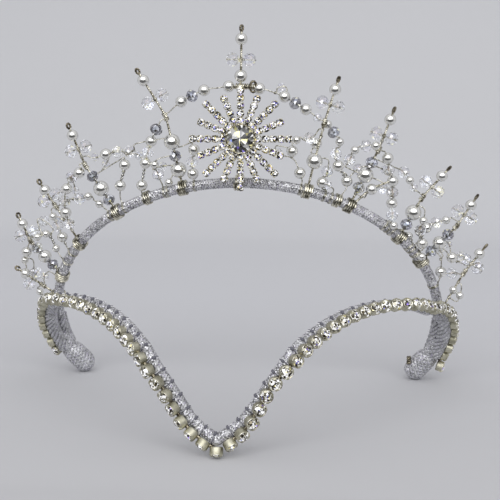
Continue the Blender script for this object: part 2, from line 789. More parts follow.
SLEEVE = sleeve_tree()
SLEEVE_STEP = 0.22


def sleeve(lines, radii, finish=BRAID, ridge=0.9, depth=0.1, turns=6, sides=36):
    """Braid round lines, in millimetres, with a radius for each point."""
    return grown(line_mesh("path", lines, radii), SLEEVE, finish, Step=SLEEVE_STEP * MM, Sides=sides,
                 Ridge=ridge * MM, Depth=depth * MM, Turns=float(turns))


# %% [markdown]
# ### Beads, cups, stones and knots set at points
#
# Each place is a point that carries a turn, a size and a number. The tree sets a copy of one shape on
# every point. The number travels with the copy, and the stones' finishes read it.

# %% Tree: shapes at points


def setting_tree():
    t = Tree("set_at_points", Shape="Object")
    turn = t.add("FunctionNodeEulerToRotation", inputs={"Euler": t.named("turn", "FLOAT_VECTOR")})
    return t.finish(t.grow(
        "InstanceOnPoints", Points=t.grow("MeshToPoints", Mesh=t.given("Geometry")),
        Instance=t.grow("ObjectInfo", "Geometry", Object=t.given("Shape")), Rotation=turn,
        Scale=t.named("size")))


SETTING = setting_tree()


def facing(direction, along=(0, 0, 1)):
    """A turn that takes Z to a direction, with X as near as can be to another."""
    z = Vector(direction).normalized()
    x = Vector(along) - Vector(along).dot(z) * z
    if x.length < 0.001:
        x = z.orthogonal()
    x.normalize()
    return tuple(Matrix((x, z.cross(x), z)).transposed().to_euler())


# The number of the first stone in each set. A set on one side starts SIDE_STEP before it or after it.
FIRST = {"clear": 10, "small clear": 60, "smoke": 200, "seeds": 300, "fine": 400, "chain": 500,
         "rays": 1000, "centre": 7}
SIDE_STEP = 100


def first_stone(kind, side=0):
    return FIRST[kind] + SIDE_STEP * side


def set_at(shape, places, material, first=1):
    """Copies of a shape at (point in mm, turn, size) places, numbered from the first on."""
    points, turns, sizes = zip(*places)
    mesh = mesh_of("places", points)
    carry(mesh, "turn", turns, "FLOAT_VECTOR")
    carry(mesh, "size", sizes)
    carry(mesh, "stone", np.arange(len(points)) + first)
    pattern = bpy.data.objects.new("shape", shape)
    result = grown(mesh, SETTING, material, Shape=pattern)
    bpy.data.objects.remove(pattern)
    return result


# %% [markdown]
# ## The two bands
#
# The sleeve tree clothes both bands. Its steps are a fifth of a millimetre, fine enough for the crossing
# threads to be real relief and not only a pattern. The front band's braid grows thicker towards its ends,
# and near the bound ends cords of braid wind round both bands on the slant, down to a bound neck.

# %% The bands
arch_line = np.array([arch_point(a) for a in np.arange(-LEG_STOP, LEG_STOP + 1, 2)])
piece_of("braid_on_crown_band", sleeve([arch_line], [np.full(len(arch_line), ARCH_R)]), "braid",
         "crown_band")

kept = slice(FRONT_TUCK, len(FRONT_LINE) - FRONT_TUCK)
both_halves = np.concatenate((FRONT_R[:0:-1], FRONT_R))
piece_of("braid_on_front_band", sleeve([FRONT_LINE[kept] - MIDDLE], [both_halves[kept]]), "braid",
         "front_band")

# The cords' radius, how deep they sit in the braid, their pitch, and their number round each leg
CORD_R, CORD_SINK, CORD_PITCH, CORDS = 0.75, 0.8, 16, 7
# Where the cords start: along the front band, and by the arch's points from each end
CORD_FROM, LEG_POINTS = 128, 9
# The bound neck's line and radii, and the ridges of bound braid: their length, depth, turns and sides
NECK = [(73.9, 99.8, 17), (73.5, 100.5, 14.5), (72.4, 101.8, 11.5), (71.5, 102.7, 8.5)]
NECK_R = [1.9, 2.6, 2.9, 3.2]
BOUND_RIDGES = (1.5, 0.16, 9, 60)
rear_legs = [arch_line[:LEG_POINTS], arch_line[-LEG_POINTS:]]
low_front = FRONT_HALF[HALF_LENGTHS > CORD_FROM][:-FRONT_TUCK]
front_legs = [placed(low_front, side) for side, _ in SIDES]
cords = [wound(legs, BRAID_CORD, radius + CORD_R - CORD_SINK, CORD_R, CORD_PITCH, CORDS, 8, 0.4)
         for legs, radius in ((rear_legs, ARCH_R), (front_legs, FRONT_R[-1]))]
necks = [smooth(placed(np.array(NECK), side)) for side, _ in SIDES]
neck_r = np.interp(np.linspace(0, 1, len(necks[0])), np.linspace(0, 1, len(NECK)), NECK_R)
neck = sleeve(necks, [neck_r, neck_r], BOUND_BRAID, *BOUND_RIDGES)
piece_of("cords_round_band_ends", joined(*cords, neck), "braid")

# %% [markdown]
# ## The bound ends
#
# The ends of both bands are bound together with many turns of braid, which makes a fat, blunt bundle. It
# is a sleeve too, with a thickness that swells and then closes to a round tip, and coarser ridges.

# %% The bound ends
GRIP_AT = (0, 0.08, 0.25, 0.66, 0.78, 0.88, 0.96, 1)
GRIP_TO = (0.72, 0.9, 1, 1, 0.94, 0.77, 0.47, 0.15)
GRIP_START, GRIP_END = np.array((71.8, 102.3, 10.1)), np.array((64, 105.5, 1.2))
GRIP_R = 4.2
share = np.linspace(0, 1, 40)
for side, end in SIDES:
    line = placed(GRIP_START + share[:, None] * (GRIP_END - GRIP_START), side)
    radii = [np.interp(share, GRIP_AT, GRIP_TO) * GRIP_R]
    piece_of("bound_end_grip_" + end, sleeve([line], radii, BOUND_BRAID, *BOUND_RIDGES), "braid",
             "end_grip_" + end)

# %% [markdown]
# A short stub of twisted wire sticks out beside the right-hand end, where the binding wire was cut.

# %% The wire stub
STUB_INSET = 0.3
STUB_TWIST = (0.5, 0.42, 1.7, 2, 8, 0.1)
low, high = (np.array(corner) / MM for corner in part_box("end_knob"))
stub_foot, stub_top = (low + high) / 2, (low + high) / 2
stub_foot[2], stub_top[2] = low[2] + STUB_INSET, high[2] - STUB_INSET
piece_of("twisted_stub", wound([[stub_foot, stub_top]], LOOP_WIRE, *STUB_TWIST), "wire", "end_knob")

# %% [markdown]
# ## The spikes' wires
#
# Each spike is one length of wire: a few turns round the rear band, a twisted stem, and a loop at its tip
# where the wire turns back. Finer wire is wrapped round the stem at its joint and round the middle of the
# crossbar that carries a pair of clear beads. Thick wire is bundled where the brooch's top ray is tied to
# the centre spike. The winding tree makes all of them from a few points each. A winding is written as its
# reach, the wire's radius, its pitch, the number of strands, the section's sides and the step.

# %% The spikes' wires
STEM_R, COIL_WIRE_R, COIL_TURNS, COIL_GAP = 0.4, 0.4, 5, 0.25
COIL_REACH = ARCH_R + COIL_GAP + COIL_WIRE_R
# How far from the middle of its coil a stem may come out
COIL_SLIDE = 1.3
# Where short wraps of wire sit between the spikes, in degrees round the arch
SPARE_COILS = (-27, 28)
LOOP_R, LOOP_TALL, LOOP_TURN = 0.8, 1.15, math.radians(60)
PAIR_REACH, PAIR_SIZE, BAR_END = 2.9, 1.12, 2.2
JOINT_BELOW, JOINT_ABOVE, TIE_HALF = 1.5, 1.3, 0.6
# The bundle's height and its two ends, then its loop: height, place aside, and half sizes
BUNDLE_AT, BUNDLE_FROM, BUNDLE_TO = 34.4, -2, 5
RING_AT, RING_ASIDE, RING_TALL, RING_WIDE = 34.6, 4.4, 1.9, 1.1
COIL = (COIL_REACH, COIL_WIRE_R, 2 * COIL_WIRE_R, 1, 8, 0.045)
SPARE_COIL = (COIL_REACH - 0.15, 0.32, 0.8, 1, 8, 0.045)
STEM_TWIST = (0.22, 0.26, 1.6, 2, 6, 0.25)
LOOP_TWIST = (0.18, 0.27, 1.3, 2, 6, 0.2)
JOINT_WRAP = (0.74, 0.28, 0.6, 1, 6, 0.04)
BAR_TWIST = (0.1, 0.12, 0.9, 2, 5, 0.25)
TIE_WRAP = (0.58, 0.16, 0.34, 1, 5, 0.03)
BUNDLE_WRAP = (0.85, 0.3, 0.75, 1, 6, 0.05)
RING_TWIST = (0.2, 0.28, 1.3, 2, 6, 0.25)


def stem_foot(spike):
    """How the stem leans along the arch, and how far up it comes out of its coil."""
    lean = spike.low_way @ arch_along(spike.angle)
    return lean, COIL_REACH / math.sqrt(1 - lean ** 2)


def coil_path(spike):
    """The coil's axis: moved along the arch only as far as the stem needs to start from it."""
    lean, foot = stem_foot(spike)
    slide = math.copysign(max(0.0, abs(foot * lean) - COIL_SLIDE), lean)
    degree = np.linalg.norm(arch_point(spike.angle + 0.5) - arch_point(spike.angle - 0.5))
    half = (COIL_TURNS - 1) * COIL_WIRE_R
    return [arch_point(spike.angle + (slide + way) / degree) for way in (-half, 0, half)]


def loop_path(spike):
    """Once round the loop at the tip, which is taller than wide and turned away from the front."""
    middle = spike.length - LOOP_R - 0.1
    return [spike.at(middle - LOOP_TALL * LOOP_R * math.cos(a), LOOP_R * math.sin(a) * math.cos(LOOP_TURN),
                     -LOOP_R * math.sin(a) * math.sin(LOOP_TURN)) for a in np.radians(np.arange(0, 361, 15))]


def stem_path(spike):
    """Up the stem from the coil, and over its bend to the foot of its loop."""
    return [spike.at(stem_foot(spike)[1]), spike.bend, spike.at(spike.length - 2 * LOOP_R)]


def bar_path(spike):
    """Along the crossbar, past both of its beads."""
    reach = PAIR_REACH + BAR_END
    return [spike.at(spike.pair, -reach), spike.at(spike.pair, reach)]


def bundle_ring(spike):
    """Once round the loop of wire beside the bundle."""
    return [spike.at(RING_AT + RING_TALL * math.sin(a), RING_ASIDE + RING_WIDE * math.cos(a), 1)
            for a in np.radians(np.arange(0, 361, 20))]


centre = spikes[len(spikes) // 2]
stem_wires = [
    wound([stem_path(s) for s in spikes], STEM_WIRE, *STEM_TWIST),
    wound([loop_path(s) for s in spikes], LOOP_WIRE, *LOOP_TWIST),
    wound([[s.at(s.joint - JOINT_BELOW), s.at(s.joint)] for s in spikes]
          + [[s.bend, s.at(s.joint + JOINT_ABOVE)] for s in spikes], STEM_WIRE, *JOINT_WRAP),
    wound([bar_path(s) for s in spikes], FINE_WIRE, *BAR_TWIST),
    wound([[s.at(s.pair - TIE_HALF), s.at(s.pair + TIE_HALF)] for s in spikes], STEM_WIRE, *TIE_WRAP),
    wound([[centre.at(BUNDLE_AT, BUNDLE_FROM), centre.at(BUNDLE_AT, BUNDLE_TO)]], STEM_WIRE, *BUNDLE_WRAP),
    wound([bundle_ring(centre)], LOOP_WIRE, *RING_TWIST),
]
piece_of("spike_stems", joined(*stem_wires), "wire", *("spike_wire_" + s.name for s in spikes))

coils = wound([coil_path(s) for s in spikes], COIL_WIRE, *COIL)
spare = wound([[arch_point(a + way) for way in (-1, 0, 1)] for a in SPARE_COILS], COIL_WIRE, *SPARE_COIL)
piece_of("arch_coils", joined(coils, spare), "wire")

# %% [markdown]
# ## The shapes of the beads
#
# A pearl is a ball with a drilled hole whose edge is pulled in a little, turned from half its outline. A
# cut bead is rows of triangles from its flat ends out to its girdle, each row half a step further on. The
# rows share their corners, so its edges stay sharp and its facets flat.

# %% Pearl and cut bead


def pearl_shape(radius, hole):
    """A ball, drilled for its wire."""
    start = math.asin(hole / radius)
    rise = np.linspace(start, math.pi - start, 14)
    outline = [(radius * math.sin(a), -radius * math.cos(a)) for a in rise]
    inner = radius * math.cos(start)
    return turned("pearl", [(0, -inner * 0.8), (hole * 0.8, -inner * 0.92), *outline,
                            (hole * 0.8, inner * 0.92), (0, inner * 0.8)], 20)


def bead_shape(radius, length, sides=10):
    """A cut bead: rows of triangles between five rings."""
    rows = [(0.5, -0.5), (0.88, -0.25), (1, 0), (0.88, 0.25), (0.5, 0.5)]
    points = [p for row, (r, z) in enumerate(rows) for p in ring(radius * r, length * z, sides, row % 2 / 2)]
    faces = [list(range(sides))[::-1], list(range(4 * sides, 5 * sides))]
    for row in range(4):
        for k in range(sides):
            j = (k + 1) % sides
            low, low_next = row * sides + k, row * sides + j
            high, high_next = low + sides, low_next + sides
            if row % 2:
                faces += [(low, high_next, high), (low, low_next, high_next)]
            else:
                faces += [(low, low_next, high), (low_next, high_next, high)]
    return mesh_of("cut_bead", points, faces, cut=True)


LARGE_PEARL = pearl_shape(2.9, 0.5)
MIDDLE_PEARL = pearl_shape(2.05, 0.35)
SMALL_PEARL = pearl_shape(1.5, 0.32)
LARGE_BEAD = bead_shape(2.3, 3.5)
MIDDLE_BEAD = bead_shape(2.2, 3.5)
SMALL_BEAD = bead_shape(1.6, 2.4)
SEED_BEAD = bead_shape(1.0, 1.7, 8)

# %% [markdown]
# ## The strands
#
# Each strand is a row of places: degrees round the arch, height above it and set-back if it has any, after
# the letter of the bead that sits there. P and p are pearls, C and c clear beads, G a smoke bead and w bare
# wire. An s is a point of the wire too, on a stretch that is filled with silver-lined seed beads.

# %% The strands' table
STRANDS = {
    -1: [
        "w -0.7 34.4, P -2 34.4, w -4 34, P -6.2 33.5, G -8.4 32.1, P -10.5 30.6, w -13 28",
        "w -15 25.6 -1, G -16.8 22.8 -1, P -19.4 19.2, C -21.4 15.8, P -23.3 12.2, s -25 9, P -27 5, "
        "w -28 2.4",
        "w -23.5 20, C -26 18, C -29.2 19.5, P -32.5 20.5, c -35.6 21.2 -1.2, w -37 22.8 -2.4",
        "w -29 16.7, P -29 14.2, s -31 11, P -33 8, w -35 3.5",
        "w -12.8 15, w -11.2 15.6, P -10.3 13.2, C -11.4 8.9, P -12 4.5 -0.6",
        "w -18 12.5 -1, p -20.9 10.7 -1, C -21.3 6.9, w -21.3 3.4",
        "w -40.8 21.8 -1.8, P -42.2 19.4 -1.4, C -45.6 20 0.4, P -49 17.9, C -51.6 14.8 -1.8, "
        "P -53.5 11.5 -2, C -54.5 7.5 -3, w -55 4.5 -3",
        "w -49.3 14, C -47 12, p -44 10.7, w -43 8.5, p -42 6, w -41 3",
        "w -58 17, p -59.3 14.8, C -60 11, P -61 7, s -61.6 4.6, w -62 3",
        "w -71.6 18.2 -3, p -69.7 15.9 -2.8, p -66.2 13.6 -0.4, s -65.4 10.8, p -66.5 7, w -67 3",
        "w -74.4 18.4 -0.6, P -76.4 17.6 -1, p -79 17.5 1, w -81 16.5 3",
        "w -84.2 9.4 1, p -86.6 9.4 1, p -86.6 5.8, w -86 2.6",
    ],
    1: [
        "w 1 34, P 3.8 33.8, w 6 33.2, P 9.1 31.8, G 11.5 30.1, P 14 28.6, c 16.8 26.6",
        "w 17.8 22.8 -0.6, C 16.2 19 -0.6, p 13.3 17.4, P 12.8 13.2, w 14 10, P 15.9 6 -1, w 17 3",
        "w 19 20.6 1.6, P 18 17.6 3, w 17.4 14 2",
        "p 19.4 25.2 3.2, G 21.3 23 0.6, p 23.4 20.4, C 23.4 16, P 25 12.1 -0.6, s 26.5 10.4, "
        "P 28.6 8, w 28.8 3",
        "w 21.9 13.2 0.8, C 22.7 8.9 0.8, P 22.4 4.6, w 24 2.6",
        "w 32.6 25.6 -2.8, p 31.9 23.6 -2.4, C 29.8 22.3 0.6, p 27.6 19.4, C 27.2 15.5 0.4, w 27 12.6",
        "w 34 23, P 36 21.5, C 37.7 18, P 40 15.2, C 41.5 11.7, P 43 8.2, C 45 4.8, w 46.2 2.2",
        "w 38 13 -0.6, p 35.8 8.8 -0.4, w 35 5 -1",
        "w 47.4 17.2, c 46 17.4, p 44 18.8, C 41.4 20, w 39.4 20",
        "w 52.2 14 -0.8, p 54.2 10.6 -1.2, C 55.4 7.2 -1.2, P 58.8 4.5 -1.5, w 60.4 2.8 -1.5",
        "w 61 19, p 60.3 17, C 58.4 13.7 1.6, P 57 9.6 3, w 57.8 6.6 2.4",
        "w 68.4 10.6 -0.6, P 71.8 11.5 -0.6, w 74.6 13 -0.6",
        "w 68 7.6, P 72.5 5, w 75 2.6",
    ],
}
# Short strands of a bead or two that fill the gaps between those
FINE_STRANDS = {
    -1: [
        "w -17.4 5.4, p -19.1 3.1 -1.4, w -20.6 1.6 -1",
        "w -21.3 9.4 -1.2, c -18.6 9.4 -2.2, w -16.6 9 -1",
        "w -26.2 17.6 0.6, c -24.4 15.6 1.4, w -23.4 12.4 0.6",
        "w -31.4 19.8 1.4, c -34.2 17.6 2.2, w -36.6 16 1.6",
        "w -46 19.8 2, c -47.4 16 2.6, w -49 13.6 1.4",
        "w -57 9 1.8, c -58 12.6 2.2, w -59.4 15.4 1.4",
        "w -63 12 1.4, C -64.4 17.4 1.6, w -66.6 19.6 0.6",
        "w -77.4 14.6 1.2, c -80 12.6 1.4, w -82.6 11.4 1.6",
        "w -76 6 1, c -79 7.8 1.4, w -81.4 7 1",
    ],
    1: [
        "w 85 13 -0.6, p 89 12.2 -1.2, w 90 10.2 -1.2",
        "w 83 20.4 0.4, c 84.3 22.4 1, w 85.6 22.6 0.4",
        "w 12.4 11 0.8, c 9.4 12 1.6, w 9 14.4 1",
        "w 7.4 33.2 0.6, c 8.2 35 1.6, w 9.4 34 0.8",
        "w 22 4.6 1, c 24.2 4.3 -1.8, w 26 3.4 -1",
        "w 28.6 8.4 1.4, C 30.4 13.4 3, w 32.2 15.6 2",
        "w 33.6 17 1, c 36.6 17.4 2.2, w 37.8 17.8 1",
        "w 41.6 11.6 1.6, C 38.6 11.2 2.4, w 37 9.2 1",
        "w 45 2.6 -1.6, p 47 2.1 -3, w 48.6 2 -2.4",
        "w 52.2 3 1.4, p 53.9 2.7 2.6, w 55.6 2.6 1.6",
        "w 54.8 8.6 1.6, G 56.2 6.5 2.6, w 58 4.4 1.6",
        "w 60.4 1.6 -2.2, p 61.7 1.3 -3, w 63 1.8 -2.4",
        "w 66 11.6 1.6, c 67.5 12.7 2.4, w 70 12 1.2",
        "w 72.4 12 1, c 74.6 15.4 1.4, w 76.6 16 0.4",
        "w 62.4 8 1.8, C 65.6 8.4 2.6, w 68.6 8.6 1",
        "w 74.6 6 1, C 77.4 9.6 1.8, w 79.4 12 1.2",
    ],
}
# A length of the stems' thick wire with one pearl on it
PROP = "w 33.4 2.6 -1, P 35.8 9 -1.6, w 39.8 15.4 -1"
BEAD_REACH = {"P": 2.05, "p": 1.5, "C": 1.75, "G": 1.75, "c": 1.2, "s": 0, "w": 0}
SEED_R, SEED_PITCH = 0.62, 1.3
# How far a wire runs straight on past the end of a bead
WIRE_PAST = 0.15


class Strand:
    """One strand: its beads, their places and the wire's direction at each."""

    def __init__(self, row):
        places = [place.split() for place in row.split(", ")]
        self.kinds = [place[0] for place in places]
        self.points = np.array([spray_point(*map(float, place[1:])) for place in places])
        self.ways = tangents(self.points)

    def beads(self, kind):
        return [(p, facing(way), 1.0) for k, p, way in zip(self.kinds, self.points, self.ways) if k == kind]

    def wire(self):
        """The wire runs straight through each bead and bends only between two."""
        path = []
        for kind, p, way in zip(self.kinds, self.points, self.ways):
            half = BEAD_REACH[kind] and BEAD_REACH[kind] + WIRE_PAST
            path += [p - half * way, p + half * way] if half else [p]
        return path

    def seeds(self):
        """Seed beads from bead to bead, past each point that asks for them."""
        places = []
        for i in (i for i, kind in enumerate(self.kinds) if kind == "s"):
            stretch = self.points[i - 1:i + 2]
            lengths = lengths_along(stretch)
            first, last = (BEAD_REACH[self.kinds[k]] + SEED_R for k in (i - 1, i + 1))
            for d in np.arange(first, lengths[-1] - last, SEED_PITCH):
                here = [np.interp(d, lengths, stretch[:, axis]) for axis in range(3)]
                places.append((here, facing(stretch[2] - stretch[0]), SEED_R))
        return places


strands = {side: [Strand(row) for row in rows] for side, rows in STRANDS.items()}
fine_strands = {side: [Strand(row) for row in rows] for side, rows in FINE_STRANDS.items()}

# %% [markdown]
# Each strand's wire is tied at both ends with a few turns round what is nearest: a stem, the rear band or,
# for the finest, another strand. The nearest point is found by measuring: along each stem, at every half
# degree of the arch and at the points of the strands' wires.

# %% The strands' wires and ties
TIE_WIRE_R, TIE_PITCH, TIE_REACH, WIRE_R = 0.13, 0.3, 0.45, 0.32
STRAND_TWIST = (0.14, WIRE_R / 2, 0.95, 2, 5, 0.3)
# The radius that ties go round: the band's with its braid
BAND_HOLD = ARCH_R + 0.12
# How far from a stem's foot and tip a wire is tied
HOLD_CLEAR = 3


def nearest_hold(point, wires):
    """The middle, direction and radius of the nearest stem, band or other wire."""
    holds = [(wire[k], unit(wire[k + 1] - wire[k - 1]), WIRE_R) for wire in wires
             for k in [1 + int(np.argmin(np.linalg.norm(wire[1:-1] - point, axis=1)))]]
    for spike in spikes:
        low = np.clip((point - spike.foot) @ spike.low_way, HOLD_CLEAR, spike.joint)
        high = np.clip(spike.joint + (point - spike.bend) @ spike.high_way, spike.joint + 0.1,
                       spike.length - HOLD_CLEAR)
        holds += [(spike.at(height), spike.way(height), STEM_R) for height in (low, high)]
    angles = np.arange(-LEG_STOP, LEG_STOP, 0.5)
    gaps = [np.linalg.norm(arch_point(a) - point) for a in angles]
    angle = angles[int(np.argmin(gaps))]
    holds.append((arch_point(angle), arch_along(angle), BAND_HOLD))
    return min(holds, key=lambda hold: np.linalg.norm(hold[0] - point) - hold[2])


def tied(path, wires):
    """The wire with its ends led to what holds them, smoothed, and the axes and reaches of its ties."""
    ties = []
    for end in (0, -1):
        middle, way, radius = nearest_hold(path[end], wires)
        gap = unit(path[end] - middle)
        contact = middle + (radius + TIE_WIRE_R) * unit(gap - (gap @ way) * way)
        path = [contact, *path] if end == 0 else [*path, contact]
        ties.append((radius, [middle - TIE_REACH * way, middle + TIE_REACH * way]))
    return smooth(path, 3), ties


def strand_wires(rows, holders=()):
    """The twisted wires of some strands, with their ties round stems, bands and other strands."""
    held_by = [smooth(holder.wire(), 3) for holder in holders]
    paths, ties = zip(*(tied(strand.wire(), held_by) for strand in rows))
    wires = [wound(paths, FINE_WIRE, *STRAND_TWIST)]
    for hold, step in ((STEM_R, 0.03), (BAND_HOLD, 0.012), (WIRE_R, 0.03)):
        axes = [axis for pair in ties for radius, axis in pair if radius == hold]
        if axes:
            wires.append(wound(axes, FINE_WIRE, hold + TIE_WIRE_R, TIE_WIRE_R, TIE_PITCH, 1, 5, step))
    return joined(*wires)


for side, end in SIDES:
    piece_of("strand_wires_" + end + "_twisted", strand_wires(strands[side]), "wire", "strand_wires_" + end)

# %% [markdown]
# The beads go on at their places. On the spikes, the smoke beads and the pearls are threaded on the stem,
# and the pairs of clear beads sit on their crossbars.

# %% Beads and pearls


FINE_BEADS = (("P", MIDDLE_PEARL, PEARL), ("p", SMALL_PEARL, PEARL), ("C", MIDDLE_BEAD, CLEAR_GLASS),
              ("c", SMALL_BEAD, CLEAR_GLASS), ("G", SMALL_BEAD, SMOKE_GLASS))


def on_side(side):
    """The spikes of one side. The centre spike counts as one of the left."""
    return [s for s in spikes if s.angle * side > 0 or s.angle == 0 and side < 0]


def strand_beads(rows, kind):
    return [place for strand in rows for place in strand.beads(kind)]


for side, end in SIDES:
    rows = strands[side]
    pearls = joined(set_at(MIDDLE_PEARL, strand_beads(rows, "P"), PEARL),
                    set_at(SMALL_PEARL, strand_beads(rows, "p"), PEARL))
    piece_of("pearls_on_strands_" + end, pearls, "pearl", "strand_pearls_" + end)

    pairs = [(s.at(s.pair, way * PAIR_REACH), facing(s.aside(s.pair)), PAIR_SIZE)
             for s in on_side(side) for way in (-1, 1)]
    clear = [set_at(MIDDLE_BEAD, strand_beads(rows, "C") + pairs, CLEAR_GLASS, first_stone("clear", side)),
             set_at(SMALL_BEAD, strand_beads(rows, "c"), CLEAR_GLASS, first_stone("small clear", side))]
    piece_of("cut_clear_beads_" + end, joined(*clear), "clear_crystal", "clear_crystals_" + end)

    on_stems = [(s.at(height), facing(s.low_way), 1.0) for s in on_side(side) for height in s.smoke]
    smoke = set_at(LARGE_BEAD, strand_beads(rows, "G") + on_stems, SMOKE_GLASS, first_stone("smoke", side))
    piece_of("cut_smoke_beads_" + end, smoke, "grey_crystal", "grey_crystals_" + end)

    seeds = [place for strand in rows for place in strand.seeds()]
    seed_beads = set_at(SEED_BEAD, seeds, SEED_GLASS, first_stone("seeds", side))
    piece_of("seed_beads_" + end, seed_beads, "grey_crystal")

    fine = fine_strands[side]
    beads = [set_at(shape, strand_beads(fine, kind), finish, first_stone("fine", side))
             for kind, shape, finish in FINE_BEADS if strand_beads(fine, kind)]
    piece_of("fine_strands_" + end, joined(strand_wires(fine, rows), *beads), "clear_crystal")

prop = Strand(PROP)
prop_wire = wound([prop.wire()], STEM_WIRE, *STEM_TWIST)
piece_of("pearl_on_thick_wire", joined(prop_wire, set_at(MIDDLE_PEARL, prop.beads("P"), PEARL)), "wire")

tips = [(s.at(s.length - PEARL_DROP), facing(s.high_way), 1.0) for s in spikes]
piece_of("pearls_at_tips", set_at(MIDDLE_PEARL, tips, PEARL), "pearl",
         *("tip_pearl_" + s.name for s in spikes))
large = [(s.at(height), facing(s.way(height)), float(s.share)) for s in spikes for height in s.large]
piece_of("large_pearls_on_stems", set_at(LARGE_PEARL, large, PEARL), "pearl",
         *("spike_pearl_" + s.name for s in spikes if s.large))


# %% [markdown]
# ## The rhinestone chain
#
# The chain is round metal cups joined by short links, each with a faceted stone held by four prongs. It
# follows a line beside the front band, and where it is twisted its cups turn about that line. The
# places are worked out first: an index that runs along the band's points, with a fraction between two of
# them, so that anything at a cup can be found the same way.

# %% The chain's places
CHAIN_STOP = 1.2
# The twist in degrees, for each side, by distance from the dip along the band
TWIST_AT = (0, 22, 40, 95, 112, 155, 159)
TWIST = {-1: (0, 0, -34, -28, 0, 0, 55), 1: (0, -8, -20, -16, 0, 0, 0)}
BAND_ALONG = tangents(FRONT_LINE)[FRONT_DIP:]
INDEXES = np.arange(len(FRONT_HALF))


def at(values, index):
    """Values of the band's points at an index with a fraction."""
    return np.array([np.interp(index, INDEXES, values[:, axis]) for axis in range(values.shape[1])]).T


def beside_band(side, index, roll, reach):
    """A point and a direction beside the band: degrees from its outer side towards its underside, and
    the distance from its surface."""
    t = unit(at(BAND_ALONG, index))
    turn = math.radians(roll)
    way = math.cos(turn) * outward(t) + math.sin(turn) * np.cross(t, outward(t))
    radius = np.interp(index, INDEXES, FRONT_R)
    flip = np.array((side, 1, 1))
    return (at(FRONT_HALF, index) + (radius + reach) * way) * flip - MIDDLE, way * flip, t * flip


class Chain:
    """One half of the chain: its line, the way it faces, and the index of each cup."""

    def __init__(self, side):
        self.side = side
        self.rolls = np.interp(HALF_LENGTHS, ROLL_AT, ROLL[side])
        rows = [beside_band(side, k, roll, CUP_GAP + CUP_DEPTH / 2) for k, roll in enumerate(self.rolls)]
        self.line, _, self.along = (np.array(column) for column in zip(*rows))
        faced = self.rolls + np.interp(HALF_LENGTHS, TWIST_AT, TWIST[side])
        self.faces = np.array([beside_band(side, k, roll, 0)[1] for k, roll in enumerate(faced)])
        self.lengths = lengths_along(self.line)
        # The cup at the dip belongs to the left half
        first = 0 if side < 0 else 1
        last = math.floor((self.lengths[-1] - CHAIN_STOP) / CUP_PITCH)
        self.cups = self.index_at(np.arange(first, last + 1) * CUP_PITCH)
        self.gaps = self.index_at((np.arange(first, last) + 0.5) * CUP_PITCH)

    def index_at(self, distances):
        return np.interp(distances, self.lengths, INDEXES)

    def point(self, index, up=0.0):
        """A point of the chain at a height over the middle of its cups."""
        return at(self.line, index) + up * unit(at(self.faces, index))

    def turn(self, index):
        return facing(unit(at(self.faces, index)), unit(at(self.along, index)))


chains = {side: Chain(side) for side in (-1, 1)}
for side, chain in chains.items():
    print(len(chain.cups), "cups on side", side)

# %% [markdown]
# ### Cups, prongs and stones
#
# A cup is turned from its wall's section, and its polished rim is a ring of its own. A prong is a short
# strip that bends inwards over the stone's edge. A stone has a brilliant's crown: a table, eight stars,
# eight kites and sixteen halves. The table is cut further into flat triangles, because a real stone shows
# its back facets there. The brooch's stones are cut the same way, with fewer repeats or more.

# %% Cup, prong and stone shapes


CORNERS = (45, 135, 225, 315)


def strip_shape(path, width, thick):
    """A flat strip along (out, up) points, in the XZ plane."""
    points, faces = [], []
    for out, up in path:
        points += [(out, -width / 2, up), (out, width / 2, up), (out - thick, width / 2, up - thick / 3),
                   (out - thick, -width / 2, up - thick / 3)]
    for row in range(0, 4 * (len(path) - 1), 4):
        faces += between(range(row, row + 4), range(row + 4, row + 8))
    return points, [*faces, (0, 1, 2, 3), tuple(len(points) - 1 - k for k in range(4))]


def with_copies(body, points, faces, angles):
    """A mesh with copies of a small shape set round its axis."""
    work = bmesh.new()
    work.from_mesh(body)
    for angle in angles:
        turn = Matrix.Rotation(math.radians(angle), 3, "Z")
        corners = [work.verts.new(turn @ Vector(p) * MM) for p in points]
        new = [work.faces.new([corners[i] for i in face]) for face in faces]
        bmesh.ops.recalc_face_normals(work, faces=new)
    work.to_mesh(body)
    work.free()
    return body


def cup_shape():
    wall = [(0, 0), (1.6, 0), (1.92, 0.1), (2.02, 0.35), (2.04, 2.0), (2.1, 2.3),
            (2.02, 2.46), (1.84, 2.44), (1.78, 2.2), (0, 2.0)]
    prong = strip_shape([(2.06, 1.5), (2.16, 2.4), (1.99, 2.76), (1.5, 2.98)], 0.75, 0.25)
    return with_copies(turned("cup", wall, 20), *prong, CORNERS)


def brilliant(radius, height, base, fold=8, middle=0.28):
    """A crown with its girdle at z = 0 and a flat back below it. Its pattern repeats fold times round."""
    round_it = 2 * fold
    points = [*ring(radius, -base, round_it), *ring(radius, 0, round_it),
              *ring(0.78 * radius, height * 0.55, fold, 0.5), *ring(0.58 * radius, height, fold),
              *ring(middle * radius, height, fold, 0.5), (0, 0, height)]
    back, girdle, star, table, inner, top = (fold * count for count in (0, 2, 4, 5, 6, 7))
    faces = [tuple(range(round_it))[::-1], *between(range(back, girdle), range(girdle, star))]
    for k in range(fold):
        j, before = (k + 1) % fold, (k - 1) % fold
        faces += [(table + k, star + before, girdle + 2 * k, star + k),
                  (table + k, table + j, star + k),
                  (star + k, girdle + 2 * k, girdle + 2 * k + 1),
                  (star + k, girdle + 2 * k + 1, girdle + (2 * k + 2) % round_it),
                  (table + k, table + j, inner + k),
                  (inner + before, table + k, inner + k),
                  (inner + k, inner + j, top)]
    return mesh_of("brilliant", points, faces, cut=True)


